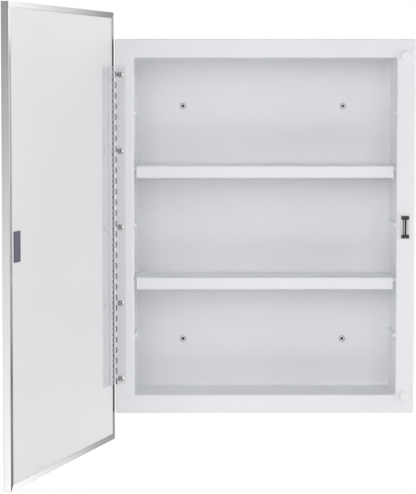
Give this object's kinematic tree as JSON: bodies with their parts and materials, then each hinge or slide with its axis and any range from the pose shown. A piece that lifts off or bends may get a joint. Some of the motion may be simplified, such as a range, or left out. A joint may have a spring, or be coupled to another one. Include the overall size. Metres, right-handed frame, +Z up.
{
  "type": "medicine cabinet",
  "caption": "Recessed steel wall cabinet with an inside magnetic catch, lift-out shelves and a mirrored door in a steel frame on a piano hinge.",
  "frame": {"origin": "centre of the four wall screw holes, on the rear face of the back wall", "axes": "+Z up, +X to the right seen from the front, front and door side towards -Y, wall behind at +Y"},
  "size_m": [0.5101, 0.4894, 0.562],
  "materials": {
    "white_enamel": "satin baked enamel",
    "panel_enamel": "satin baked enamel",
    "frame_steel": "bright stainless",
    "hinge_steel": "satin plated",
    "rivet_nickel": "bright plated",
    "key_steel": "zinc plated",
    "strike_steel": "satin dark coating",
    "pole_steel": "plated",
    "ferrite": "matt ferrite",
    "catch_plastic": "moulded",
    "dark_plastic": "moulded",
    "bumper_rubber": "clear to white, soft",
    "filler_board": "pressed fibreboard",
    "mirror": "silvered glass"
  },
  "bodies": {
    "cabinet": {"cabinet_body": "white_enamel", "hinge_leaf_cabinet": "hinge_steel", "hinge_pin": "hinge_steel", "hinge_rivets_cabinet": "rivet_nickel", "catch_housing": "catch_plastic", "catch_insert": "dark_plastic", "catch_magnet": "ferrite", "catch_pole_plate_left": "pole_steel", "catch_pole_plate_right": "pole_steel", "bumper_upper": "bumper_rubber", "bumper_lower": "bumper_rubber"},
    "door": {"hinge_leaf_door": "hinge_steel", "hinge_rivets_door": "rivet_nickel", "door_back_panel": "panel_enamel", "filler_board": "filler_board", "mirror_glass": "mirror", "strike_plate": "strike_steel", "frame_top_rail": "frame_steel", "frame_bottom_rail": "frame_steel", "frame_free_stile": "frame_steel", "frame_hinge_stile": "frame_steel", "corner_key_top_free": "key_steel", "corner_key_bottom_free": "key_steel", "corner_key_top_hinge": "key_steel", "corner_key_bottom_hinge": "key_steel"},
    "upper_shelf": {"upper_shelf": "white_enamel"},
    "lower_shelf": {"lower_shelf": "white_enamel"}
  },
  "joints": [
    {"name": "door_hinge", "type": "hinge", "parent": "cabinet", "child": "door", "pos_m": [-0.1978, -0.1011, 0], "axis": [0, 0, -1], "range_deg": [-105, 8]},
    {"name": "upper_shelf_lift", "type": "slide", "parent": "cabinet", "child": "upper_shelf", "axis": [0, 0, 1], "range_m": [0, 0.06]},
    {"name": "lower_shelf_lift", "type": "slide", "parent": "cabinet", "child": "lower_shelf", "axis": [0, 0, 1], "range_m": [0, 0.06]}
  ]
}
